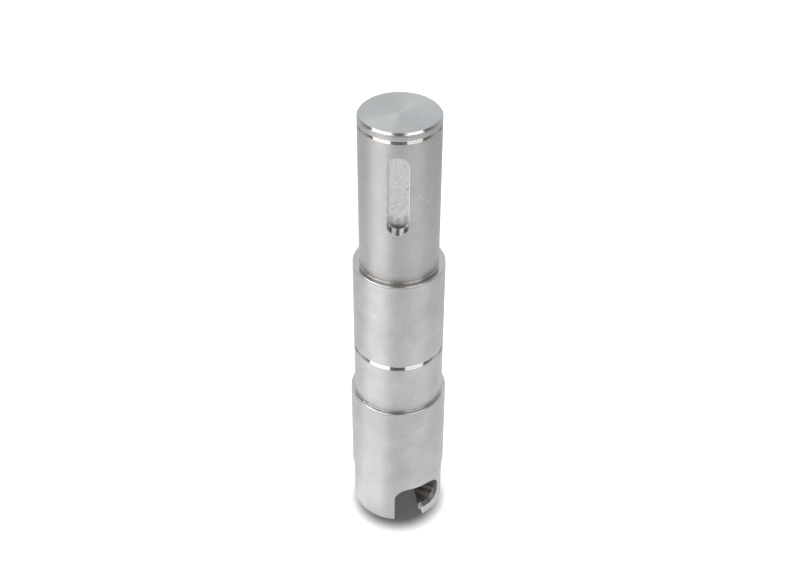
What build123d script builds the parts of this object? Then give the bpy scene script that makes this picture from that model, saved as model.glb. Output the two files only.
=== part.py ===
from build123d import *
import os

# Stepped drive shaft, turned from one bar. It stands on its slotted end.
# Millimetres, +Z up the shaft. The origin is the centre of the slotted end face.
# Angles are turned about +Z, and 0 is the -Y side, where the entry slot opens.

# Diameters, from the keyed end down to the slotted end
KEY_SEAT_D = 30.0  # seat that carries the key
BEARING_SEAT_D = 35.0
COLLAR_D = 38.0
SOCKET_D = 37.0

# Lengths along the axis
KEY_SEAT_LENGTH = 62.8
BEARING_SEAT_LENGTH = 62.0
COLLAR_LENGTH = 41.2
SOCKET_LENGTH = 20.0

# Edges and corners
END_CHAMFER = 0.8  # free end of the key seat
BEARING_CHAMFER = 0.3  # upper edge of the bearing seat
COLLAR_CHAMFER = 0.3  # upper edge of the collar
KEY_SEAT_FILLET = 0.3  # corner where the key seat meets the bearing seat
BEARING_FILLET = 0.3  # corner where the bearing seat meets the collar
COLLAR_EDGE_BREAK = 0.2  # lower edge of the collar
SOCKET_EDGE_BREAK = 0.15  # outer edge of the slotted end
SLOT_EDGE_BREAK = 0.2  # outer edges of the bayonet slots

# Retaining ring grooves
END_RING_WIDTH = 1.3
END_RING_FLOOR_D = 28.0
END_RING_OFFSET = 2.8  # from the free end to the near side of the groove
BEARING_RING_WIDTH = 1.85
BEARING_RING_FLOOR_D = 33.0
BEARING_RING_OFFSET = 21.7  # from the collar's face to the near side of the groove

# Keyway for an 8 mm key, round at both ends
KEYWAY_WIDTH = 8.0
KEYWAY_DEPTH = 4.0
KEYWAY_LENGTH = 32.0
KEYWAY_OFFSET = 9.5  # from the free end to the near end of the keyway
KEYWAY_TURN = -17.5  # from the middle of the entry slot
KEYWAY_FLOOR_FILLET = 0.2  # small corner left by the cutter
SEAM_TURN = 30.0  # where the turned faces begin and end, about the axis

# Bayonet socket: a tang goes in along the entry slot and is turned to lock
ENTRY_WIDTH = 12.35
ENTRY_CORNER_R = 6.0
LOCK_REACH = 13.9  # from the middle of the entry leg to the far end of the locking leg
LOCK_ROOF_CORNER_R = 6.5  # far upper corner of the locking leg
LOCK_TOOTH_CORNER_R = 4.5  # far lower corner, above the tooth
SLOT_DEPTH = 17.5  # from the slotted end to the roof of the slot
TOOTH_HEIGHT = 4.0  # wall left under the locking leg
END_PLATE_THICKNESS = 3.6
PLATE_SLOT_WIDTH = 13.5
PLATE_SLOT_TURN = -5.5  # from the middle of the entry slot
CHAMBER_D = 32.0
CHAMBER_TOP = 19.0  # height of the chamber's roof above the slotted end
CHAMBER_LAP = 0.5  # how far the wall openings reach into the chamber

OVERRUN = 2.0  # how far each cutter runs past the surface that it cuts

# Heights that follow from the lengths
COLLAR_FOOT = SOCKET_LENGTH
COLLAR_TOP = COLLAR_FOOT + COLLAR_LENGTH
BEARING_TOP = COLLAR_TOP + BEARING_SEAT_LENGTH
OVERALL_LENGTH = BEARING_TOP + KEY_SEAT_LENGTH


def ring_groove(seat_d, floor_d, width, foot):
    """A square-bottomed groove round a seat, from foot up by width."""
    outer = Cylinder(seat_d / 2 + OVERRUN, width, align=(Align.CENTER, Align.CENTER, Align.MIN))
    inner = Cylinder(floor_d / 2, width, align=(Align.CENTER, Align.CENTER, Align.MIN))
    return Pos(0, 0, foot) * (outer - inner)


def turned_blank():
    """The turned outline, revolved about the axis, with its grooves cut."""
    key_r, bearing_r = KEY_SEAT_D / 2, BEARING_SEAT_D / 2
    collar_r, socket_r = COLLAR_D / 2, SOCKET_D / 2
    # Corners from the axis at the slotted end, out and up to the free end
    with BuildPart() as blank:
        with BuildSketch(Plane.XZ):
            with BuildLine():
                Polyline(
                    (0, 0),
                    (socket_r - SOCKET_EDGE_BREAK, 0),
                    (socket_r, SOCKET_EDGE_BREAK),
                    (socket_r, COLLAR_FOOT),
                    (collar_r - COLLAR_EDGE_BREAK, COLLAR_FOOT),
                    (collar_r, COLLAR_FOOT + COLLAR_EDGE_BREAK),
                    (collar_r, COLLAR_TOP - COLLAR_CHAMFER),
                    (collar_r - COLLAR_CHAMFER, COLLAR_TOP),
                    (bearing_r + BEARING_FILLET, COLLAR_TOP),
                )
                # The two inner corners are quarter rounds
                RadiusArc(
                    (bearing_r + BEARING_FILLET, COLLAR_TOP),
                    (bearing_r, COLLAR_TOP + BEARING_FILLET),
                    BEARING_FILLET,
                )
                Polyline(
                    (bearing_r, COLLAR_TOP + BEARING_FILLET),
                    (bearing_r, BEARING_TOP - BEARING_CHAMFER),
                    (bearing_r - BEARING_CHAMFER, BEARING_TOP),
                    (key_r + KEY_SEAT_FILLET, BEARING_TOP),
                )
                RadiusArc(
                    (key_r + KEY_SEAT_FILLET, BEARING_TOP),
                    (key_r, BEARING_TOP + KEY_SEAT_FILLET),
                    KEY_SEAT_FILLET,
                )
                Polyline(
                    (key_r, BEARING_TOP + KEY_SEAT_FILLET),
                    (key_r, OVERALL_LENGTH - END_CHAMFER),
                    (key_r - END_CHAMFER, OVERALL_LENGTH),
                    (0, OVERALL_LENGTH),
                    (0, 0),
                )
            make_face()
        revolve(axis=Axis.Z)
    # The seam of the turned faces is laid clear of the keyway
    blank = Rot(0, 0, SEAM_TURN) * blank.part
    blank -= ring_groove(
        KEY_SEAT_D,
        END_RING_FLOOR_D,
        END_RING_WIDTH,
        OVERALL_LENGTH - END_RING_OFFSET - END_RING_WIDTH,
    )
    blank -= ring_groove(
        BEARING_SEAT_D,
        BEARING_RING_FLOOR_D,
        BEARING_RING_WIDTH,
        COLLAR_TOP + BEARING_RING_OFFSET,
    )
    return blank


def keyway_cutter():
    """What an end mill of the keyway's width takes out of the key seat."""
    seat_r = KEY_SEAT_D / 2
    floor_y = -(seat_r - KEYWAY_DEPTH)
    middle = OVERALL_LENGTH - KEYWAY_OFFSET - KEYWAY_LENGTH / 2
    outline = SlotOverall(KEYWAY_LENGTH, KEYWAY_WIDTH, rotation=90)
    # The outline lies on the keyway's floor and is pushed out towards -Y
    floor = Plane(origin=(0, floor_y, middle), x_dir=(1, 0, 0), z_dir=(0, -1, 0))
    cutter = extrude(floor * outline, amount=KEYWAY_DEPTH + OVERRUN)
    floor_edges = cutter.faces().sort_by(Axis.Y)[-1].edges()
    cutter = fillet(floor_edges, KEYWAY_FLOOR_FILLET)
    return Rot(0, 0, KEYWAY_TURN) * cutter


def bayonet_slot():
    """One L-shaped opening in the socket's wall: the entry leg and the locking leg, milled along Y."""
    leg_height = SLOT_DEPTH - TOOTH_HEIGHT
    # Seen square on from -Y: the entry leg runs out below the slotted end
    entry = Pos(0, (SLOT_DEPTH - OVERRUN) / 2) * Rectangle(ENTRY_WIDTH, SLOT_DEPTH + OVERRUN)
    entry = fillet(entry.vertices().group_by(Axis.Y)[-1].sort_by(Axis.X)[0], ENTRY_CORNER_R)
    locking = Pos(LOCK_REACH / 2, TOOTH_HEIGHT + leg_height / 2) * Rectangle(LOCK_REACH, leg_height)
    locking = fillet(locking.vertices().group_by(Axis.X)[-1].sort_by(Axis.Y)[-1], LOCK_ROOF_CORNER_R)
    locking = fillet(locking.vertices().group_by(Axis.Y)[0].sort_by(Axis.X)[-1], LOCK_TOOTH_CORNER_R)
    middle = Plane(origin=(0, 0, 0), x_dir=(1, 0, 0), z_dir=(0, -1, 0))
    opening = extrude(middle * (entry + locking), amount=SOCKET_D / 2 + OVERRUN)
    # Only the wall is cut: what lies further in belongs to the chamber and the plate
    core = Cylinder(
        CHAMBER_D / 2 - CHAMBER_LAP,
        SLOT_DEPTH + 4 * OVERRUN,
        align=(Align.CENTER, Align.CENTER, Align.MIN),
    )
    return opening - Pos(0, 0, -2 * OVERRUN) * core


def slot_mouth_edges(body):
    """The edges where the bayonet slots break out through the socket's wall."""
    wall_r = SOCKET_D / 2

    def on_wall(edge):
        points = [edge.position_at(step / 4) for step in range(5)]
        heights = [point.Z for point in points]
        at_wall = all(abs((p.X**2 + p.Y**2) ** 0.5 - wall_r) < 1e-3 for p in points)
        below = max(heights) < COLLAR_FOOT - 1e-3
        above = max(heights) > SOCKET_EDGE_BREAK + 1e-3
        return at_wall and below and above

    return [edge for edge in body.edges() if on_wall(edge)]


def shaft():
    """The whole shaft as one solid."""
    body = turned_blank() - keyway_cutter()
    # Round chamber behind the end plate, where the tang turns
    chamber = Cylinder(
        CHAMBER_D / 2,
        CHAMBER_TOP - END_PLATE_THICKNESS,
        align=(Align.CENTER, Align.CENTER, Align.MIN),
    )
    body -= Pos(0, 0, END_PLATE_THICKNESS) * chamber
    # Straight slot through the end plate, from one wall opening to the other
    through = (Align.CENTER, Align.CENTER, Align.MIN)
    plate_slot_height = END_PLATE_THICKNESS + 2 * OVERRUN
    plate_slot = Box(PLATE_SLOT_WIDTH, CHAMBER_D + OVERRUN, plate_slot_height, align=through)
    plate_slot &= Cylinder(CHAMBER_D / 2, plate_slot_height, align=through)
    body -= Pos(0, 0, -OVERRUN) * (Rot(0, 0, PLATE_SLOT_TURN) * plate_slot)
    # Two openings in the wall, half a turn apart
    opening = bayonet_slot()
    body -= opening
    body -= Rot(0, 0, 180) * opening
    return chamfer(slot_mouth_edges(body), SLOT_EDGE_BREAK)


os.makedirs("parts", exist_ok=True)
part = shaft().solid()
part.label = "shaft"
export_step(part, "parts/shaft.step")
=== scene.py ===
import logging
import math
from dataclasses import dataclass, field
from enum import IntEnum
from typing import Any, Callable, Sequence

import bpy
import numpy as np
from mathutils import Matrix, Vector


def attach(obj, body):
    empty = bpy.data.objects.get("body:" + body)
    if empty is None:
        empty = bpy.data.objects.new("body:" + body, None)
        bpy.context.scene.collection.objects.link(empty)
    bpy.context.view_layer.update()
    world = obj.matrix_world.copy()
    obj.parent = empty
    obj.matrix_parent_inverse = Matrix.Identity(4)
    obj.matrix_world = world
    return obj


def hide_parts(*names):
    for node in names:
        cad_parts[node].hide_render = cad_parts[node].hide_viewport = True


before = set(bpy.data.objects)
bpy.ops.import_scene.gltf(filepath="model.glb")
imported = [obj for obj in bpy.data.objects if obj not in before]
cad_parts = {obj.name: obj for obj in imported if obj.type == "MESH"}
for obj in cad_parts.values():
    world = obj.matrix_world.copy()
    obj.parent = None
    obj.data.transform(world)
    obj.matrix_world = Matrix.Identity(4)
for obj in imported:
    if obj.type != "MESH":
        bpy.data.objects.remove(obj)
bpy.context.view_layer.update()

# A stepped drive shaft that stands on its slotted end.
# Sizes are in millimetres and are scaled to metres as a mesh is made.
# Angles are turned about the shaft's axis, and 0 is the -Y side, where the entry slot opens.

MM = 0.001
SEGMENTS = 360  # sides round every turned surface
SURFACES = 200  # slots for surface numbers, more than the shaft has surfaces
TINY = 1e-9  # lengths below this count as nothing
QUARTER_TURN = 0.25  # lays the turning marks round the axis, as a share of a full turn
log = logging.getLogger("drive_shaft")

Pair = tuple[float, float]
Triple = tuple[float, float, float]
Colour = Triple


class Finish(IntEnum):
    """The finishes on the shaft, in the order of the piece's material slots."""

    KEY_SEAT = 0
    BEARING_SEAT = 1
    COLLAR = 2
    SOCKET = 3
    BRIGHT = 4
    FACED = 5
    KEYWAY_FLOOR = 6
    KEYWAY_WALL = 7
    SLOT = 8
    CHAMBER = 9
    FOOT = 10
    GROOVE = 11
    SHOULDER = 12


# A cut surface is numbered by its finish, and the turned bands are numbered on from here
BANDS = len(Finish)


# ---- shader words


def joining(operation: str, swapped: bool = False) -> Callable[[Any, Any], "Wire"]:
    """A method that joins a shader value and another value in a Math node."""

    def method(own: "Wire", other: Any) -> "Wire":
        """Joins the two, with the other value first when they are swapped."""
        return own.graph.maths(operation, *((other, own) if swapped else (own, other)))

    return method


class Wire:
    """A shader value that can be written in an expression."""

    def __init__(self, graph: "Graph", socket: bpy.types.NodeSocket) -> None:
        """Keeps the graph and the socket that the value comes from."""
        self.graph = graph
        self.socket = socket

    __add__, __radd__ = joining("ADD"), joining("ADD", True)
    __sub__, __rsub__ = joining("SUBTRACT"), joining("SUBTRACT", True)
    __mul__, __rmul__ = joining("MULTIPLY"), joining("MULTIPLY", True)
    __truediv__ = joining("DIVIDE")


class Graph:
    """A material's or world's node tree, with short ways to add to it."""

    def __init__(self, owner: bpy.types.Material | bpy.types.World) -> None:
        """Empties the owner's tree, ready for its own nodes."""
        owner.use_nodes = True
        self.owner = owner
        self.tree = owner.node_tree
        self.tree.nodes.clear()

    def add(self, kind: str, sockets: dict[Any, Any] | None = None, **settings: str) -> bpy.types.Node:
        """Adds one node.

        Args:
            kind: the node's type name.
            sockets: a value or a link for each named or numbered socket.
            settings: what is set on the node before its sockets.

        Returns:
            The new node.
        """
        node = self.tree.nodes.new(kind)
        for name, setting in settings.items():
            setattr(node, name, setting)
        for name, value in (sockets or {}).items():
            self.plug(node.inputs[name], value)
        return node

    def plug(self, socket: bpy.types.NodeSocket, value: Any) -> None:
        """Links or sets one socket."""
        if isinstance(value, Wire):
            value = value.socket
        if isinstance(value, bpy.types.NodeSocket):
            self.tree.links.new(value, socket)
        else:
            socket.default_value = value

    def maths(self, operation: str, *values: Any) -> Wire:
        """Adds a Math node on some values."""
        node = self.add("ShaderNodeMath", dict(enumerate(values)), operation=operation)
        return Wire(self, node.outputs[0])

    def smooth(
        self, value: Any, low: float, high: float, to_low: float = 0.0, to_high: float = 1.0
    ) -> Wire:
        """Eases a value from one range into another.

        Args:
            value: the value to ease.
            low: where the easing starts.
            high: where it ends.
            to_low: the result at the start.
            to_high: the result at the end.

        Returns:
            The eased value.
        """
        sockets = {0: value, 1: low, 2: high, 3: to_low, 4: to_high}
        node = self.add("ShaderNodeMapRange", sockets, interpolation_type="SMOOTHSTEP")
        return Wire(self, node.outputs[0])

    def blend(self, factor: Any, first: Any, second: Any) -> Wire:
        """Mixes two colours.

        Args:
            factor: how much of the second shows.
            first: a colour or a link.
            second: a colour or a link.

        Returns:
            The mixed colour.
        """
        sides = [(*side, 1.0) if isinstance(side, tuple) else side for side in (first, second)]
        node = self.add("ShaderNodeMix", {0: factor, 6: sides[0], 7: sides[1]}, data_type="RGBA")
        return Wire(self, node.outputs[2])

    def vector(self, x: Any, y: Any, z: Any) -> Wire:
        """Joins three values in a vector."""
        return Wire(self, self.add("ShaderNodeCombineXYZ", {0: x, 1: y, 2: z}).outputs[0])

    def noise(self, place: Any, scale: float, detail: float = 2.0, roughness: float = 0.5) -> Wire:
        """A noise value from 0 to 1.

        Args:
            place: the coordinates, in millimetres.
            scale: features for each millimetre.
            detail: octaves of finer noise.
            roughness: how strong the finer noise is.

        Returns:
            The noise value.
        """
        sockets = {"Vector": place, "Scale": scale, "Detail": detail, "Roughness": roughness}
        return Wire(self, self.add("ShaderNodeTexNoise", sockets).outputs["Fac"])

    def bump(self, height: Wire, depth: float) -> Wire:
        """A normal that follows a height from 0 to 1, over a depth in millimetres."""
        sockets = {"Strength": 1.0, "Distance": depth * MM, "Height": height}
        return Wire(self, self.add("ShaderNodeBump", sockets).outputs[0])


@dataclass(frozen=True)
class Mark:
    """One straight scratch or rub: its ends as degrees round and height, and how pale it is."""

    start: Pair
    end: Pair
    width: float
    strength: float


class ShaftPlace:
    """Where a point is on the shaft: across, along and round, in millimetres."""

    def __init__(self, graph: Graph) -> None:
        """Adds the nodes that read the point's place in the shaft's own frame."""
        self.graph = graph
        here = graph.add("ShaderNodeTexCoord").outputs["Object"]
        scaled = graph.add("ShaderNodeVectorMath", {0: here, "Scale": 1 / MM}, operation="SCALE")
        self.point = Wire(graph, scaled.outputs[0])
        parts = graph.add("ShaderNodeSeparateXYZ", {0: self.point})
        self.x, self.y, self.z = (Wire(graph, socket) for socket in parts.outputs)
        self.turn = graph.maths("ARCTAN2", self.x, self.y * -1.0)

    def stretched(self, across: float, along: float) -> Wire:
        """The point with its sideways and lengthways scales changed."""
        return self.graph.vector(self.x * across, self.y * across, self.z * along)

    def unrolled(self, radius: float, tilt: float, along: float, across: float) -> Wire:
        """The wall laid flat, turned and stretched, for marks that run at a slant.

        Args:
            radius: the wall's radius.
            tilt: the slant in degrees from level.
            along: scale along the marks.
            across: scale across the marks.

        Returns:
            Flat coordinates.
        """
        level, rise = math.cos(math.radians(tilt)), math.sin(math.radians(tilt))
        over = self.turn * radius
        return self.graph.vector(
            (over * level + self.z * rise) * along, (self.z * level - over * rise) * across, 0.0
        )

    def marked(self, tone: Wire, radius: float, marks: Sequence[Mark]) -> Wire:
        """Lays marks over a tone.

        Args:
            tone: how pale the surface is.
            radius: the wall's radius.
            marks: the marks on it.

        Returns:
            The tone with its marks.
        """
        for mark in marks:
            tone = tone + self.line_mask(radius, mark) * mark.strength
        return tone

    def line_mask(self, radius: float, mark: Mark) -> Wire:
        """Where one mark lies on the wall.

        Args:
            radius: the wall's radius.
            mark: the mark.

        Returns:
            1 on the mark and 0 away from it, with soft sides.
        """
        graph = self.graph
        first = (math.radians(mark.start[0]) * radius, mark.start[1])
        last = (math.radians(mark.end[0]) * radius, mark.end[1])
        run = (last[0] - first[0], last[1] - first[1])
        length = math.hypot(*run)
        along = (run[0] / length, run[1] / length)
        over, up = self.turn * radius - first[0], self.z - first[1]
        step = graph.maths("MINIMUM", graph.maths("MAXIMUM", over * along[0] + up * along[1], 0.0), length)
        off_over, off_up = over - step * along[0], up - step * along[1]
        away = graph.maths("SQRT", off_over * off_over + off_up * off_up)
        return graph.smooth(away, mark.width * 0.2, mark.width, 1.0, 0.0)


# ---- steel finishes


class Surface(Graph):
    """A metal material as it is made, with its shader and the point's place on the shaft."""

    def __init__(self, name: str) -> None:
        """Starts the material and joins its shader to the output."""
        super().__init__(bpy.data.materials.new(name))
        self.place = ShaftPlace(self)
        self.shader = self.add("ShaderNodeBsdfPrincipled", {"Metallic": 1.0})
        self.add("ShaderNodeOutputMaterial", {"Surface": self.shader.outputs[0]})

    def finish(self, **sockets: Any) -> bpy.types.Material:
        """Sets or links the shader's sockets, named with _ for a space, and returns the material."""
        for name, value in sockets.items():
            self.plug(self.shader.inputs[name.replace("_", " ")], value)
        return self.owner


@dataclass(frozen=True)
class TurnedSteel:
    """Turned or ground steel: clouding, fine rings, grain, a few marks and a painted shade line under the
    upper edge.
    """

    name: str
    radius: float
    shade_line_height: float  # height of the painted shade line under the upper edge
    pale: Colour = (0.68, 0.667, 0.66)
    deep: Colour = (0.486, 0.475, 0.468)
    roughness: float = 0.5
    spread: float = 0.78  # how far the rings draw reflections out along the axis
    clouding: float = 0.5
    ringing: float = 0.25
    grain: float = 0.3
    relief: float = 0.012  # depth of the grain in millimetres
    marks: tuple[Mark, ...] = ()
    # colour of the painted shade line
    shade_line_colour: Colour = (0.12, 0.11, 0.10)
    shade_line_core: float = 0.06  # half the width of the painted shade line's dark middle
    shade_line_width: float = 0.28
    shade_line_strength: float = 0.6

    def pattern(self, graph: Surface) -> Wire:
        """How pale the steel is at each point, from 0 to 1 about one half."""
        place = graph.place
        cloud = graph.noise(place.stretched(1.0, 0.75), 0.11, 3.0, 0.55) - 0.5
        rub = graph.noise(place.unrolled(self.radius, 38.0, 0.05, 0.35), 1.0, 3.0, 0.6) - 0.5
        rings = graph.noise(place.stretched(0.03, 1.6), 1.0, 2.0, 0.6) - 0.5
        speck = graph.noise(place.point, 1.5, 2.0, 0.6) - 0.5
        soft = cloud * self.clouding + rub * (self.clouding * 0.35)
        return 0.5 + soft + rings * self.ringing + speck * self.grain

    def dress(self) -> bpy.types.Material:
        """Makes the finish's material."""
        graph = Surface(self.name)
        place = graph.place
        tone = place.marked(self.pattern(graph), self.radius, self.marks)
        shine = graph.noise(place.stretched(1.0, 0.6), 0.2, 2.0)
        steel = graph.blend(graph.smooth(tone, 0.0, 1.0), self.deep, self.pale)
        # Painted shade: a thin dark band in the colour just under the upper edge
        off_shade_line = graph.maths("ABSOLUTE", place.z - self.shade_line_height)
        line = graph.smooth(off_shade_line, self.shade_line_core, self.shade_line_width, self.shade_line_strength, 0.0)
        fine = graph.noise(place.stretched(0.9, 2.2), 1.3, 2.0, 0.6)
        return graph.finish(
            Base_Color=graph.blend(line, steel, self.shade_line_colour),
            Roughness=self.roughness + (shine - 0.5) * 0.1,
            Normal=graph.bump(fine, self.relief),
            Anisotropic=self.spread,
            Anisotropic_Rotation=QUARTER_TURN,
        )


@dataclass(frozen=True)
class BrightSteel:
    """Chamfers, grooves and shoulders, left bright by the turning tool."""

    name: str
    colour: Colour = (0.72, 0.71, 0.70)
    roughness: float = 0.09
    dimming: float = 0.93  # how dark the tool's streaks are

    def dress(self) -> bpy.types.Material:
        """Makes the finish's material."""
        graph = Surface(self.name)
        streak = graph.noise(graph.place.stretched(0.35, 3.0), 1.0, 2.0)
        dim = tuple(channel * self.dimming for channel in self.colour)
        return graph.finish(
            Base_Color=graph.blend(streak, dim, self.colour),
            Roughness=self.roughness + (streak - 0.5) * 0.03,
        )


@dataclass(frozen=True)
class FacedSteel:
    """An end faced flat: rings round the centre, which draw light out in a fan, and painted fan glints in
    its colour.
    """

    name: str
    pale: Colour = (0.645, 0.626, 0.592)
    deep: Colour = (0.555, 0.538, 0.509)
    roughness: float = 0.40
    spread: float = 0.5
    relief: float = 0.006

    def dress(self) -> bpy.types.Material:
        """Makes the finish's material."""
        graph = Surface(self.name)
        place = graph.place
        out = graph.maths("SQRT", place.x * place.x + place.y * place.y)
        rings = graph.noise(graph.vector(out * 4.5, place.turn * 0.35, 0.0), 1.0, 2.0, 0.6)
        # painted glints: paler and darker wedges round the centre
        fan = graph.noise(graph.vector(place.turn * 2.2, out * 0.03, 4.0), 1.0, 2.0)
        speck = graph.noise(place.point, 1.6, 2.0, 0.6)
        tone = graph.smooth(rings * 0.35 + fan * 0.3 + speck * 0.35, 0.3, 0.7)
        return graph.finish(
            Base_Color=graph.blend(tone, self.deep, self.pale),
            Roughness=self.roughness + (rings - 0.5) * 0.08,
            Normal=graph.bump(rings + speck * 0.6, self.relief),
            Anisotropic=self.spread,
            Anisotropic_Rotation=QUARTER_TURN,
        )


@dataclass(frozen=True)
class MilledSteel:
    """Milled steel: a mottled skin of cutter marks, and painted slanting streaks of light and shade where
    their strength is set.
    """

    name: str
    deep: Colour
    roughness: float
    mottle: float
    pale: Colour = (0.70, 0.68, 0.66)
    grain: float = 1.9  # marks for each millimetre
    relief: float = 0.015
    metallic: float = 1.0
    radius: float = 11.0  # how far from the axis the surface lies
    streaks: float = 0.0  # strength of painted slanting streaks of light and shade
    marks: tuple[Mark, ...] = ()

    def dress(self) -> bpy.types.Material:
        """Makes the finish's material."""
        graph = Surface(self.name)
        place = graph.place
        coarse = graph.noise(place.stretched(1.0, 0.8), 0.5, 2.0)
        fine = graph.noise(place.point, self.grain, 2.0, 0.65)
        # painted streaks of light and shade, slanting across the surface
        slant = graph.noise(place.unrolled(self.radius, 68.0, 0.06, 0.42), 1.0, 2.0)
        mottle = (fine - 0.5) * (self.mottle * 2.4) + (coarse - 0.5) * (self.mottle * 0.4)
        tone = 0.62 + mottle + (slant - 0.5) * self.streaks
        tone = graph.smooth(place.marked(tone, self.radius, self.marks), 0.0, 1.0)
        return graph.finish(
            Base_Color=graph.blend(tone, self.deep, self.pale),
            Roughness=self.roughness + (coarse - 0.5) * 0.12,
            Normal=graph.bump(fine, self.relief),
            Metallic=self.metallic,
        )


# ---- mesh words


@dataclass
class Skin:
    """A mesh as it is made: points in millimetres, faces and each face's surface number."""

    points: list[Triple] = field(default_factory=list)
    faces: list[tuple[int, ...]] = field(default_factory=list)
    surfaces: list[int] = field(default_factory=list)

    def loop(self, ring: np.ndarray) -> list[int]:
        """Adds a closed ring of points and returns their numbers."""
        first = len(self.points)
        self.points.extend(tuple(float(value) for value in point) for point in ring)
        return list(range(first, len(self.points)))

    def band(self, low: list[int], high: list[int], surface: int) -> None:
        """Joins two rings of the same count with faces."""
        count = len(low)
        for k in range(count):
            n = (k + 1) % count
            self.faces.append((low[k], low[n], high[n], high[k]))
            self.surfaces.append(surface)

    def climb(self, low: list[int], rings: Sequence[tuple[np.ndarray, int]]) -> list[int]:
        """Adds one ring after another, each joined to the one before, and returns the last."""
        for ring, surface in rings:
            high = self.loop(ring)
            self.band(low, high, surface)
            low = high
        return low

    def cap(self, ring: list[int], surface: int) -> None:
        """Closes a ring with one face."""
        self.faces.append(tuple(ring))
        self.surfaces.append(surface)

    def prism(self, low: np.ndarray, high: np.ndarray, surface: int) -> None:
        """Joins two rings in a closed solid."""
        ring = self.loop(low)
        self.cap(ring[::-1], surface)
        self.cap(self.climb(ring, [(high, surface)]), surface)

    def build(self, name: str, slots: int = SURFACES) -> bpy.types.Object:
        """Makes the mesh object, with each surface number as its material index.

        Args:
            name: the object's name.
            slots: how many surface numbers it has room for.

        Returns:
            The linked object.
        """
        mesh = bpy.data.meshes.new(name)
        mesh.from_pydata([tuple(value * MM for value in point) for point in self.points], [], self.faces)
        for _ in range(slots):
            mesh.materials.append(None)
        mesh.polygons.foreach_set("material_index", self.surfaces)
        mesh.update()
        thing = bpy.data.objects.new(name, mesh)
        bpy.context.scene.collection.objects.link(thing)
        return thing


def level_ring(radius: float, height: float, sides: int = SEGMENTS) -> np.ndarray:
    """A level ring of points round the axis."""
    turns = np.arange(sides) * (2 * math.pi / sides)
    return np.stack([radius * np.cos(turns), radius * np.sin(turns), np.full(sides, height)], 1)


def arc(middle: Pair, radius: float, start: float, end: float, steps: int) -> list[Pair]:
    """Points along an arc from one angle in degrees to another, both included."""
    angles = [math.radians(start + (end - start) * k / steps) for k in range(steps + 1)]
    return [(middle[0] + radius * math.cos(angle), middle[1] + radius * math.sin(angle)) for angle in angles]


def rounding(radius: float, steps: int) -> list[Pair]:
    """The steps of a rounded edge: how far each lies below the top, and how far it has widened."""
    angles = [math.pi / 2 * k / steps for k in range(steps + 1)]
    return [(radius * (1 - math.sin(angle)), radius * (1 - math.cos(angle))) for angle in angles]


def pushed_out(flat: Sequence[Pair], turn: float, radius: float, level: bool = False) -> np.ndarray:
    """Pushes an outline out from the axis to a surface of the shaft.

    Args:
        flat: the outline seen square on, as sideways and height.
        turn: which way it faces, about the axis.
        radius: the round surface that it comes to.
        level: whether it comes to a flat surface at that distance instead.

    Returns:
        The outline's points in space.
    """
    ahead, aside = math.sin(math.radians(turn)), math.cos(math.radians(turn))
    over, up = np.array(flat).T
    away = np.full(len(flat), radius) if level else np.sqrt(radius**2 - over**2)
    return np.stack([ahead * away + aside * over, ahead * over - aside * away, up], 1)


def read_numbers(rows: Any, name: str) -> np.ndarray:
    """Reads one whole number of every row of a mesh, such as every face's material index."""
    values = np.empty(len(rows), dtype=np.int32)
    rows.foreach_get(name, values)
    return values


def read_vectors(rows: Any, name: str) -> np.ndarray:
    """Reads one vector of every row of a mesh, such as every vertex's place."""
    values = np.empty(len(rows) * 3)
    rows.foreach_get(name, values)
    return values.reshape(-1, 3)


def carve(body: bpy.types.Object, cutter: bpy.types.Object) -> None:
    """Cuts one closed mesh out of another and discards the cutter."""
    change = body.modifiers.new("cut", "BOOLEAN")
    change.operation = "DIFFERENCE"
    change.solver = "EXACT"
    change.object = cutter
    bpy.context.view_layer.update()
    carved = bpy.data.meshes.new_from_object(body.evaluated_get(bpy.context.evaluated_depsgraph_get()))
    body.modifiers.clear()
    spent = body.data
    body.data = carved
    bpy.data.meshes.remove(spent)
    bpy.data.meshes.remove(cutter.data)


# ---- the turned outline


@dataclass(frozen=True)
class Corner:
    """A corner of the turned outline, as radius and height, and the finish that follows it."""

    at: Pair
    finish: Finish
    radius: float = 0.06
    steps: int = 3


@dataclass(frozen=True)
class Stretch:
    """One band of the turned outline, with its surface normal at both ends."""

    start: Pair
    end: Pair
    start_normal: Pair
    end_normal: Pair
    finish: Finish


def unit(first: Pair, last: Pair) -> Pair:
    """The direction from one outline point to another."""
    run = (last[0] - first[0], last[1] - first[1])
    length = math.hypot(*run)
    return run[0] / length, run[1] / length


def moved(point: Pair, way: Pair, amount: float) -> Pair:
    """A point moved some way along a direction."""
    return point[0] + way[0] * amount, point[1] + way[1] * amount


def outline_stretches(corners: Sequence[Corner]) -> list[Stretch]:
    """Rounds the outline's corners and splits it into bands.

    Args:
        corners: the outline from the foot's centre, out and up to the free end's centre.

    Returns:
        The bands, in the same order.
    """
    stretches: list[Stretch] = []
    here = corners[0].at
    for k in range(1, len(corners)):
        before, corner = corners[k - 1], corners[k]
        into = unit(before.at, corner.at)
        flat = (into[1], -into[0])
        if k == len(corners) - 1:
            stretches.append(Stretch(here, corner.at, flat, flat, before.finish))
            break
        out = unit(corner.at, corners[k + 1].at)
        bend = math.atan2(into[0] * out[1] - into[1] * out[0], into[0] * out[0] + into[1] * out[1])
        reach = corner.radius * math.tan(abs(bend) / 2)
        start = moved(corner.at, into, -reach)
        stretches.append(Stretch(here, start, flat, flat, before.finish))
        swing = math.copysign(corner.radius, bend)
        centre = moved(start, flat, -swing)
        here, normal = start, flat
        for step in range(1, corner.steps + 1):
            turn = bend * step / corner.steps
            turned = (
                flat[0] * math.cos(turn) - flat[1] * math.sin(turn),
                flat[0] * math.sin(turn) + flat[1] * math.cos(turn),
            )
            there = moved(centre, turned, swing)
            stretches.append(Stretch(here, there, normal, turned, Finish.BRIGHT))
            here, normal = there, turned
    return stretches


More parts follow.
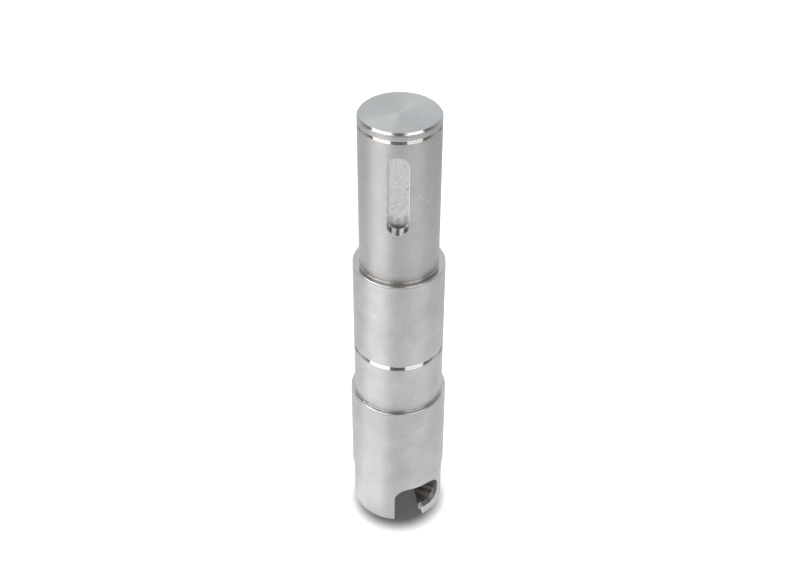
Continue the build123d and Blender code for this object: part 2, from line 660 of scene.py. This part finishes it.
@dataclass
class TurnedBlank:
    """The shaft as it leaves the lathe."""

    key_seat_d: float = 30.0
    bearing_seat_d: float = 35.0
    collar_d: float = 38.0
    socket_d: float = 37.0
    socket_top: float = 20.0
    collar_top: float = 61.2
    bearing_top: float = 123.2
    length: float = 186.0
    end_chamfer: float = 0.8
    step_edge: float = 0.5  # rounding at the top of each step
    step_fillet: float = 0.3
    collar_edge: float = 0.2
    foot_edge: float = 0.15
    end_ring: Triple = (181.9, 183.2, 28.0)  # low side, high side, floor diameter
    bearing_ring: Triple = (82.9, 84.75, 33.0)
    pip_r: float = 0.45
    pip_tip_r: float = 0.04
    pip_depth: float = 0.15
    stretches: list[Stretch] = field(init=False)

    def __post_init__(self) -> None:
        """Works out the outline's bands."""
        self.stretches = outline_stretches(self.corners())

    def groove(self, seat_r: float, ring: Triple, after: Finish) -> list[Corner]:
        """The four corners of a ring groove in a seat."""
        low, high, floor_d = ring
        return [
            Corner((seat_r, low), Finish.GROOVE, 0.05),
            Corner((floor_d / 2, low), Finish.GROOVE, 0.1),
            Corner((floor_d / 2, high), Finish.GROOVE, 0.1),
            Corner((seat_r, high), after, 0.05),
        ]

    def corners(self) -> list[Corner]:
        """The outline from the foot's centre to the free end's centre."""
        key_r, bearing_r = self.key_seat_d / 2, self.bearing_seat_d / 2
        collar_r, socket_r = self.collar_d / 2, self.socket_d / 2
        return [
            Corner((0.0, 0.0), Finish.FOOT),
            Corner((socket_r - self.foot_edge, 0.0), Finish.BRIGHT, 0.08),
            Corner((socket_r, self.foot_edge), Finish.SOCKET, 0.08),
            Corner((socket_r, self.socket_top), Finish.BRIGHT, 0.06),
            Corner((collar_r - self.collar_edge, self.socket_top), Finish.BRIGHT, 0.04),
            Corner((collar_r, self.socket_top + self.collar_edge), Finish.COLLAR, 0.06),
            Corner((collar_r, self.collar_top), Finish.SHOULDER, self.step_edge, 8),
            Corner((bearing_r, self.collar_top), Finish.BEARING_SEAT, self.step_fillet, 6),
            *self.groove(bearing_r, self.bearing_ring, Finish.BEARING_SEAT),
            Corner((bearing_r, self.bearing_top), Finish.SHOULDER, self.step_edge, 8),
            Corner((key_r, self.bearing_top), Finish.KEY_SEAT, self.step_fillet, 6),
            *self.groove(key_r, self.end_ring, Finish.KEY_SEAT),
            Corner((key_r, self.length - self.end_chamfer), Finish.BRIGHT, 0.8, 6),
            Corner((key_r - self.end_chamfer, self.length), Finish.FACED, 0.1),
            Corner((self.pip_r, self.length), Finish.FACED, 0.05),
            Corner((self.pip_tip_r, self.length - self.pip_depth), Finish.FACED),
        ]

    def make(self) -> bpy.types.Object:
        """Revolves the outline.

        Returns:
            The blank as a closed mesh.
        """
        skin = Skin()
        low = skin.loop(level_ring(*self.stretches[0].end))
        skin.cap(low[::-1], BANDS)
        rings = [(level_ring(*stretch.end), number) for number, stretch in enumerate(self.stretches, BANDS)]
        skin.cap(skin.climb(low, rings[1:]), rings[-1][1])
        return skin.build("blank")


# ---- the milled cuts


@dataclass
class Keyway:
    """A round-ended keyway in the key seat."""

    seat_r: float = 15.0
    width: float = 8.0
    depth: float = 4.0
    length: float = 32.0
    middle: float = 160.5
    turn: float = -17.5
    floor_fillet: float = 0.2
    edge: float = 0.05
    flare: float = 0.08  # how far the cutter widens past the edge
    lip: float = 0.12  # how far out the flare starts, past the seat
    overrun: float = 3.0
    end_steps: int = 40
    corner_steps: int = 5
    edge_steps: int = 3

    def outline(self, grow: float) -> list[Pair]:
        """The keyway's outline seen square on, as sideways and height, grown by an amount."""
        end_r, run = self.width / 2 + grow, (self.length - self.width) / 2
        upper = arc((0.0, self.middle + run), end_r, 0.0, 180.0, self.end_steps)
        return upper + arc((0.0, self.middle - run), end_r, 180.0, 360.0, self.end_steps)

    def ring(self, grow: float, radius: float, level: bool = False) -> np.ndarray:
        """One loop of the cutter, on a round surface or a level one."""
        return pushed_out(self.outline(grow), self.turn, radius, level)

    def make(self) -> bpy.types.Object:
        """Makes the cutter: floor, corner, wall, mouth.

        Returns:
            The cutter.
        """
        floor = self.seat_r - self.depth
        skin = Skin()
        low = skin.loop(self.ring(-self.floor_fillet, floor, True))
        skin.cap(low[::-1], Finish.KEYWAY_FLOOR)
        rings: list[tuple[np.ndarray, int]] = []
        for inset, lift in rounding(self.floor_fillet, self.corner_steps)[1:]:
            rings.append((self.ring(-inset, floor + lift, True), Finish.KEYWAY_WALL))
        for k, (below, grow) in enumerate(rounding(self.edge, self.edge_steps)):
            finish = Finish.BRIGHT if k else Finish.KEYWAY_WALL
            rings.append((self.ring(grow, self.seat_r - below), finish))
        rings.append((self.ring(self.flare, self.seat_r + self.lip), Finish.BRIGHT))
        rings.append((self.ring(self.flare, self.seat_r + self.overrun, True), Finish.BRIGHT))
        skin.cap(skin.climb(low, rings), Finish.KEYWAY_FLOOR)
        return skin.build("keyway_cutter")


@dataclass
class BayonetSlot:
    """One L-shaped opening in the socket's wall, milled square to the shaft."""

    wall_r: float = 18.5
    core_r: float = 15.5  # the cut starts this far from the axis
    half_width: float = 6.175
    reach: float = 13.9
    entry_corner: float = 6.0
    roof_corner: float = 6.5
    tooth_corner: float = 4.5
    roof: float = 17.5
    tooth: float = 4.0
    below: float = -1.5
    edge: float = 0.1
    flare: float = 0.2  # how far the cutter widens past the edge
    lip: float = 0.2  # how far out the flare starts, past the wall
    overrun: float = 9.0
    corner_steps: int = 20
    roof_steps: int = 30
    tooth_steps: int = 8
    foot_steps: int = 20
    edge_steps: int = 4

    def outline(self, grow: float) -> list[Pair]:
        """The opening seen square on.

        Args:
            grow: how far the outline is grown.

        Returns:
            Its points, as sideways and height, anticlockwise from outside.
        """

        def corner(middle: Pair, radius: float, start: float) -> list[Pair]:
            """A quarter round, clockwise from a starting angle."""
            return arc(middle, radius + grow, start, start - 90.0, self.corner_steps)

        def run(start: float, end: float, height: float, steps: int) -> list[Pair]:
            """Points along a level edge, without its ends."""
            return [(start + (end - start) * k / steps, height) for k in range(1, steps)]

        left, right, far = -self.half_width - grow, self.half_width + grow, self.reach
        top, step = self.roof + grow, self.tooth - grow
        entry_r, roof_r, tooth_r = self.entry_corner, self.roof_corner, self.tooth_corner
        turn = -self.half_width + entry_r
        points = [
            (left, self.below),
            *corner((turn, self.roof - entry_r), entry_r, 180.0),
            *run(turn, far - roof_r, top, self.roof_steps),
            *corner((far - roof_r, self.roof - roof_r), roof_r, 90.0),
            *corner((far - tooth_r, self.tooth + tooth_r), tooth_r, 0.0),
            *run(far - tooth_r, right, step, self.tooth_steps),
            (right, step),
            (right, self.below),
            *run(right, left, self.below, self.foot_steps),
        ]
        return points[::-1]

    def close(self, skin: Skin, loop: list[int], inward: bool) -> None:
        """Closes an end of the cutter with triangles that follow its round surface.

        Args:
            skin: the mesh that is added to.
            loop: the numbers of the end's points.
            inward: whether the end faces the axis.
        """
        flat = self.outline(0.0)
        left = min(range(len(flat)), key=lambda k: (flat[k][0], flat[k][1]))
        right = max(range(len(flat)), key=lambda k: (flat[k][0], -flat[k][1]))
        count = len(flat)
        below = [(left + k) % count for k in range((right - left) % count + 1)]
        above = [(left - k) % count for k in range((left - right) % count + 1)]
        low, high = 0, 0
        while low < len(below) - 1 or high < len(above) - 1:
            # The chain whose next point lies further left goes on first
            ahead_low = flat[below[low + 1]][0] if low < len(below) - 1 else math.inf
            ahead_high = flat[above[high + 1]][0] if high < len(above) - 1 else math.inf
            if ahead_low <= ahead_high:
                face = (loop[below[low]], loop[below[low + 1]], loop[above[high]])
                low += 1
            else:
                face = (loop[below[low]], loop[above[high + 1]], loop[above[high]])
                high += 1
            if len(set(face)) == 3:
                skin.faces.append(face[::-1] if inward else face)
                skin.surfaces.append(Finish.SLOT)

    def make(self, turn: float) -> bpy.types.Object:
        """Makes the cutter: wall, then rounded mouth.

        Args:
            turn: how far the opening is turned about the axis.

        Returns:
            The cutter.
        """
        skin = Skin()
        low = skin.loop(pushed_out(self.outline(0.0), turn, self.core_r))
        self.close(skin, low, True)
        rings: list[tuple[np.ndarray, int]] = []
        for k, (below, grow) in enumerate(rounding(self.edge, self.edge_steps)):
            finish = Finish.BRIGHT if k else Finish.SLOT
            rings.append((pushed_out(self.outline(grow), turn, self.wall_r - below), finish))
        for past in (self.lip, self.overrun):
            rings.append((pushed_out(self.outline(self.flare), turn, self.wall_r + past), Finish.BRIGHT))
        self.close(skin, skin.climb(low, rings), False)
        return skin.build("bayonet_cutter")


@dataclass
class Chamber:
    """The round chamber behind the end plate, and the straight slot through the plate."""

    radius: float = 16.0
    foot: float = 3.6
    top: float = 19.0
    slot_width: float = 13.5
    slot_turn: float = -5.5
    slot_end_r: float = 15.98
    overrun: float = 2.0
    end_steps: int = 30

    def make_void(self) -> bpy.types.Object:
        """Makes the chamber's cutter."""
        low, high = (level_ring(self.radius, height) for height in (self.foot, self.top))
        skin = Skin()
        skin.prism(low, high, Finish.CHAMBER)
        return skin.build("chamber_cutter")

    def make_slot(self) -> bpy.types.Object:
        """Makes the cutter of the slot through the plate."""
        reach = math.degrees(math.asin(self.slot_width / 2 / self.slot_end_r))
        flat: list[Pair] = []
        for side in (-90.0, 90.0):
            middle = side + self.slot_turn
            flat += arc((0.0, 0.0), self.slot_end_r, middle - reach, middle + reach, self.end_steps)
        heights = (-self.overrun, self.foot + self.overrun)
        low, high = (np.array([(x, y, height) for x, y in flat]) for height in heights)
        skin = Skin()
        skin.prism(low, high, Finish.CHAMBER)
        return skin.build("plate_slot_cutter")


# ---- the finished shaft


@dataclass
class DriveShaft:
    """The whole shaft: the turned blank with its milled cuts, and its finishes."""

    blank: TurnedBlank = field(default_factory=TurnedBlank)
    keyway: Keyway = field(default_factory=Keyway)
    bayonet: BayonetSlot = field(default_factory=BayonetSlot)
    chamber: Chamber = field(default_factory=Chamber)
    crease: float = 38.0  # a sharper bend between milled faces than this stays sharp

    def finishes(self) -> list[Any]:
        """The finishes, in the order of Finish."""
        seat_marks = (
            Mark((11.4, 160.4), (28.0, 156.2), 0.35, 0.35),
            Mark((28.0, 156.2), (42.4, 149.2), 0.3, 0.3),
        )
        bearing_marks = (
            Mark((19.2, 102.5), (25.0, 104.0), 0.4, 0.3),
            Mark((-52.5, 108.3), (-42.3, 107.7), 0.4, 0.3),
            Mark((38.0, 106.9), (38.4, 106.7), 0.45, -0.9),
        )
        collar_marks = (
            Mark((-31.4, 43.3), (13.4, 49.6), 3.2, 0.1),
            Mark((-29.4, 27.4), (-24.2, 30.7), 0.45, 0.3),
            # a painted highlight round the collar's lower edge
            Mark((-180.0, 20.3), (180.0, 20.3), 0.3, 0.35),
        )
        keyway_marks = (
            Mark((-3.2, 161.4), (3.0, 161.7), 0.36, -3.0),
            Mark((-36.2, 149.5), (-36.2, 172.5), 0.42, -2.4),
            # painted dark reflections at the keyway's lower end
            Mark((-32.3, 145.5), (-32.3, 149.0), 1.9, -0.7),
            Mark((-17.5, 144.5), (-17.5, 148.5), 1.6, -0.7),
            Mark((-2.7, 145.5), (-2.7, 149.0), 1.9, -0.7),
        )
        return [
            TurnedSteel(
                "key_seat_steel", radius=15.0, shade_line_height=184.85, pale=(0.682, 0.664, 0.648),
                deep=(0.488, 0.472, 0.458), grain=0.5, clouding=0.3, marks=seat_marks,
            ),
            TurnedSteel(
                "bearing_seat_steel", radius=17.5, shade_line_height=122.62, pale=(0.705, 0.692, 0.685),
                deep=(0.50, 0.489, 0.482), clouding=0.8, marks=bearing_marks,
            ),
            TurnedSteel(
                "collar_steel", radius=19.0, shade_line_height=60.62, pale=(0.66, 0.647, 0.64),
                deep=(0.47, 0.459, 0.452), clouding=0.7, marks=collar_marks,
            ),
            TurnedSteel("socket_steel", radius=18.5, shade_line_height=19.75),
            BrightSteel("bright_steel", roughness=0.15),
            FacedSteel("faced_steel"),
            MilledSteel(
                "keyway_floor_steel", deep=(0.42, 0.40, 0.38), roughness=0.24, mottle=1.0, grain=2.2,
                relief=0.012, marks=keyway_marks,
            ),
            BrightSteel("keyway_wall_steel"),
            MilledSteel(
                "slot_steel", pale=(0.78, 0.77, 0.76), deep=(0.5, 0.48, 0.46), mottle=0.3, roughness=0.3,
                metallic=0.7, relief=0.01,
            ),
            # the chamber: dark steel with painted streaks of light and shade
            MilledSteel(
                "chamber_steel", pale=(0.72, 0.70, 0.67), deep=(0.2, 0.185, 0.17), mottle=0.3, roughness=0.3,
                radius=16.0, streaks=2.4,
            ),
            FacedSteel("foot_steel"),
            BrightSteel("groove_steel", colour=(0.76, 0.74, 0.715)),
            BrightSteel("shoulder_steel", colour=(0.62, 0.595, 0.565), roughness=0.12),
        ]

    def make(self) -> bpy.types.Object:
        """Builds and dresses the shaft.

        Returns:
            The finished piece.
        """
        body = self.blank.make()
        cutters = (
            self.chamber.make_void(),
            self.chamber.make_slot(),
            self.bayonet.make(0.0),
            self.bayonet.make(180.0),
            self.keyway.make(),
        )
        for cutter in cutters:
            carve(body, cutter)
        self.dress(body)
        body.name = body.data.name = "finished_shaft"
        return body

    def dress(self, body: bpy.types.Object) -> None:
        """Sets the smooth normals and swaps surface numbers for finishes.

        Args:
            body: the carved shaft.
        """
        mesh = body.data
        numbers = read_numbers(mesh.polygons, "material_index")
        normals = self.corner_normals(mesh, numbers)
        order = [*Finish, *(stretch.finish for stretch in self.blank.stretches)]
        table = np.array(order, dtype=np.int32)
        mesh.materials.clear()
        for finish in self.finishes():
            mesh.materials.append(finish.dress())
        mesh.polygons.foreach_set("material_index", table[numbers])
        mesh.polygons.foreach_set("use_smooth", np.ones(len(mesh.polygons), dtype=bool))
        mesh.normals_split_custom_set(normals.tolist())
        mesh.update()

    def corner_normals(self, mesh: bpy.types.Mesh, numbers: np.ndarray) -> np.ndarray:
        """Works out the normal at each face corner.

        Args:
            mesh: the carved mesh.
            numbers: each face's surface number.

        Returns:
            One normal for each face corner.
        """
        places = read_vectors(mesh.vertices, "co") / MM
        corner_vertex = read_numbers(mesh.loops, "vertex_index")
        counts = read_numbers(mesh.polygons, "loop_total")
        flat = read_vectors(mesh.polygons, "normal")
        corner_face = np.repeat(np.arange(len(mesh.polygons)), counts)
        normals = flat[corner_face].copy()
        corner_number = numbers[corner_face]
        # The first and last bands are flat ends
        for number, stretch in enumerate(self.blank.stretches[1:-1], BANDS + 1):
            chosen = np.nonzero(corner_number == number)[0]
            if len(chosen):
                normals[chosen] = self.turned_normals(places[corner_vertex[chosen]], stretch)
        self.smooth_cuts(mesh, numbers, normals, flat)
        return normals

    def turned_normals(self, points: np.ndarray, stretch: Stretch) -> np.ndarray:
        """The normals of points on one band of the turned outline."""
        out = np.hypot(points[:, 0], points[:, 1])
        run = np.array(stretch.end) - np.array(stretch.start)
        offset = np.stack([out - stretch.start[0], points[:, 2] - stretch.start[1]], 1)
        share = np.clip(offset @ run / max(run @ run, TINY**2), 0.0, 1.0)[:, None]
        lean = np.array(stretch.start_normal) * (1 - share) + np.array(stretch.end_normal) * share
        lean /= np.linalg.norm(lean, axis=1)[:, None]
        around = points[:, :2] / np.maximum(out, TINY)[:, None]
        return np.concatenate([around * lean[:, :1], lean[:, 1:]], 1)

    def smooth_cuts(
        self, mesh: bpy.types.Mesh, numbers: np.ndarray, normals: np.ndarray, flat: np.ndarray
    ) -> None:
        """Averages the normals of neighbouring milled faces, where they bend gently.

        Args:
            mesh: the carved mesh.
            numbers: each face's surface number.
            normals: the corner normals, changed in place.
            flat: the face normals.
        """
        limit = math.cos(math.radians(self.crease))
        corners: dict[int, list[tuple[int, int, float]]] = {}
        for face in mesh.polygons:
            if numbers[face.index] >= BANDS:
                continue
            ring = list(face.vertices)
            for k, vertex in enumerate(ring):
                here = mesh.vertices[vertex].co
                to_next = mesh.vertices[ring[(k + 1) % len(ring)]].co - here
                to_last = mesh.vertices[ring[k - 1]].co - here
                weight = to_next.angle(to_last, 0.0)
                corners.setdefault(vertex, []).append((face.loop_start + k, face.index, weight))
        for group in corners.values():
            for corner, face, _ in group:
                total = np.zeros(3)
                for _, other, weight in group:
                    if flat[face] @ flat[other] > limit:
                        total += flat[other] * weight
                size = np.linalg.norm(total)
                if size > TINY:
                    normals[corner] = total / size


# ---- the studio


@dataclass(frozen=True)
class SoftLamp:
    """A large square lamp, placed by direction from the shaft."""

    name: str
    turn: float
    rise: float
    distance: float
    width: float
    height: float
    glow: float

    def make(self, target: Vector) -> bpy.types.Object:
        """Makes the lamp, facing the target."""
        data = bpy.data.lights.new(self.name, "AREA")
        data.shape = "RECTANGLE"
        data.size, data.size_y = self.width, self.height
        data.energy = self.glow * math.pi * self.width * self.height
        turn, rise = math.radians(self.turn), math.radians(self.rise)
        away = Vector((math.sin(turn) * math.cos(rise), -math.cos(turn) * math.cos(rise), math.sin(rise)))
        lamp = bpy.data.objects.new(self.name, data)
        lamp.location = target + away * self.distance
        lamp.rotation_euler = (-away).to_track_quat("-Z", "Y").to_euler()
        bpy.context.scene.collection.objects.link(lamp)
        return lamp


@dataclass(frozen=True)
class WhitePaper:
    """White paper that darkens under the shaft, and shows pale where steel mirrors it."""

    shade_centre: Pair = (-1.4, -5.0)
    shade_inner: float = 13.2
    shade_outer: float = 23.2
    under: Colour = (0.08, 0.08, 0.08)
    pale: Colour = (0.82, 0.82, 0.82)
    seen_shade: float = 0.085  # glow seen in the middle of the shade
    seen_open: float = 0.6  # glow added to that in the open
    near: Pair = (20.0, 0.6)  # a distance from the axis, and the mirrored glow there
    away: Pair = (420.0, 0.12)
    inner_r: float = 11.5  # the mirrored glow starts here, inside the shaft's foot
    outer_r: float = 15.5
    left: Triple = (-71.6, 0.80, 0.6)  # patch: direction, spread, glow
    right: Triple = (32.4, 0.85, 0.12)

    def dress(self) -> bpy.types.Material:
        """Makes the paper's material."""
        graph = Graph(bpy.data.materials.new("white_paper"))
        place = ShaftPlace(graph)
        over, back = place.x - self.shade_centre[0], place.y - self.shade_centre[1]
        off_centre = graph.maths("SQRT", over * over + back * back)
        open_air = graph.smooth(off_centre, self.shade_inner, self.shade_outer)
        paper = graph.blend(open_air, self.under, self.pale)
        matt = graph.add("ShaderNodeBsdfDiffuse", {"Color": paper})
        rays = graph.add("ShaderNodeLightPath").outputs
        seen, mirrored, passed = (
            Wire(graph, rays[name]) for name in ("Is Camera Ray", "Is Glossy Ray", "Is Transmission Ray")
        )
        to_eye = seen * (self.seen_shade + open_air * self.seen_open)
        to_steel = graph.maths("MAXIMUM", mirrored, passed) * self.mirrored_glow(graph, place, open_air)
        glow = graph.add("ShaderNodeEmission", {"Color": (1, 1, 1, 1), "Strength": to_eye + to_steel})
        both = graph.add("ShaderNodeAddShader", {0: matt.outputs[0], 1: glow.outputs[0]})
        graph.add("ShaderNodeOutputMaterial", {"Surface": both.outputs[0]})
        return graph.owner

    def mirrored_glow(self, graph: Graph, place: ShaftPlace, open_air: Wire) -> Wire:
        """How pale the paper is where steel mirrors it.

        Args:
            graph: the paper's graph.
            place: where the point is.
            open_air: 0 in the shade and 1 in the open.

        Returns:
            The strength of the glow.
        """
        spread = graph.maths("SQRT", place.x * place.x + place.y * place.y)
        fall = graph.smooth(spread, self.near[0], self.away[0], self.near[1], self.away[1])
        for turn, reach, strength in (self.left, self.right):
            out = math.sin(math.radians(turn)), -math.cos(math.radians(turn))
            along = (place.x * out[0] + place.y * out[1]) / spread
            fall = fall + graph.smooth(along, reach, 0.99, 0.0, strength)
        outside = graph.smooth(spread, self.inner_r, self.outer_r)
        return outside * graph.maths("MINIMUM", fall + (1.0 - open_air) * 0.5, 1.0) + 0.02


@dataclass(frozen=True)
class Room:
    """The room's light: a pale wall on one side, a pale rim low down and a dim rest."""

    dim: Colour = (0.155, 0.155, 0.16)
    pale: Colour = (0.765, 0.82, 0.885)
    wall_from: float = 0.22  # how squarely a direction faces the wall where it starts to show
    wall_full: float = 0.95
    wall_lean: Pair = (0.85, 0.53)  # how far off and how high the wall's middle is
    rim_height: float = 0.4
    rim_glow: float = 0.35

    def light(self, turn: float) -> None:
        """Sets the world, with the wall behind the shaft for someone who stands at a turn."""
        world = bpy.data.worlds.new("room")
        bpy.context.scene.world = world
        graph = Graph(world)
        angle, (off, up) = math.radians(turn), self.wall_lean
        wall = Vector((-math.sin(angle) * off, math.cos(angle) * off, up)).normalized()
        way = graph.add("ShaderNodeTexCoord").outputs["Generated"]
        facing = graph.add("ShaderNodeVectorMath", {0: way, 1: tuple(wall)}, operation="DOT_PRODUCT")
        ahead = graph.smooth(Wire(graph, facing.outputs["Value"]), self.wall_from, self.wall_full)
        height = Wire(graph, graph.add("ShaderNodeSeparateXYZ", {0: way}).outputs[2])
        rim = graph.smooth(height, 0.0, self.rim_height, self.rim_glow, 0.0)
        colour = graph.blend(graph.maths("MAXIMUM", ahead, rim), self.dim, self.pale)
        shade = graph.add("ShaderNodeBackground", {"Color": colour, "Strength": 1.0})
        graph.add("ShaderNodeOutputWorld", {"Surface": shade.outputs[0]})


@dataclass
class Studio:
    """Floor, lamps, world and camera."""

    camera_turn: float = -15.6  # where the camera stands, about the shaft's axis
    camera_tilt: float = 52.311
    camera_roll: float = 0.38526
    camera_place: Triple = (-99.95, -359.52, 398.77)
    camera_lens: float = 55.756
    camera_sensor: float = 36.0
    floor_r: float = 6000.0
    floor_sides: int = 96
    floor_height: float = -0.05
    paper: WhitePaper = WhitePaper()
    room: Room = Room()
    target: Vector = field(default_factory=lambda: Vector((0.0, 0.0, 0.093)))  # half-way up the shaft
    lamps: tuple[SoftLamp, ...] = (
        SoftLamp("left_lamp", -70.0, 47.0, 1.2, 1.02, 0.62, 2.15),
        SoftLamp("right_lamp", 29.5, 47.0, 1.2, 0.85, 0.62, 1.6),
        SoftLamp("high_lamp", -152.6, 61.0, 1.2, 0.30, 0.30, 6.5),
    )

    def make_camera(self) -> None:
        """Places the camera."""
        data = bpy.data.cameras.new("camera")
        data.lens = self.camera_lens
        data.sensor_width = self.camera_sensor
        data.clip_start, data.clip_end = 0.01, 50.0
        camera = bpy.data.objects.new("camera", data)
        stand = Matrix.Translation(Vector(self.camera_place) * MM)
        for angle, axis in ((self.camera_turn, "Z"), (self.camera_tilt, "X"), (self.camera_roll, "Z")):
            stand = stand @ Matrix.Rotation(math.radians(angle), 4, axis)
        camera.matrix_world = stand
        bpy.context.scene.collection.objects.link(camera)
        bpy.context.scene.camera = camera

    def make_floor(self) -> bpy.types.Object:
        """Makes the pale floor, with the soft shade round the shaft's foot."""
        skin = Skin()
        skin.cap(skin.loop(level_ring(self.floor_r, self.floor_height, self.floor_sides)), 0)
        floor = skin.build("floor", 0)
        floor.data.materials.append(self.paper.dress())
        return floor

    def make(self) -> bpy.types.Object:
        """Sets up the studio and returns its floor."""
        self.make_camera()
        self.room.light(self.camera_turn)
        for lamp in self.lamps:
            lamp.make(self.target)
        return self.make_floor()


def main() -> None:
    """Builds the studio and the shaft, and reports each piece."""
    logging.basicConfig(level=logging.INFO, format="%(name)s: %(message)s")
    view = bpy.context.scene.view_settings
    view.view_transform = "Standard"
    floor = Studio().make()
    log.info("floor, lamps, world and camera are in place")
    shaft = DriveShaft().make()
    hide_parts("shaft")
    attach(shaft, "root")
    log.info("%s: %d faces", shaft.name, len(shaft.data.polygons))


if __name__ == "__main__":
    main()
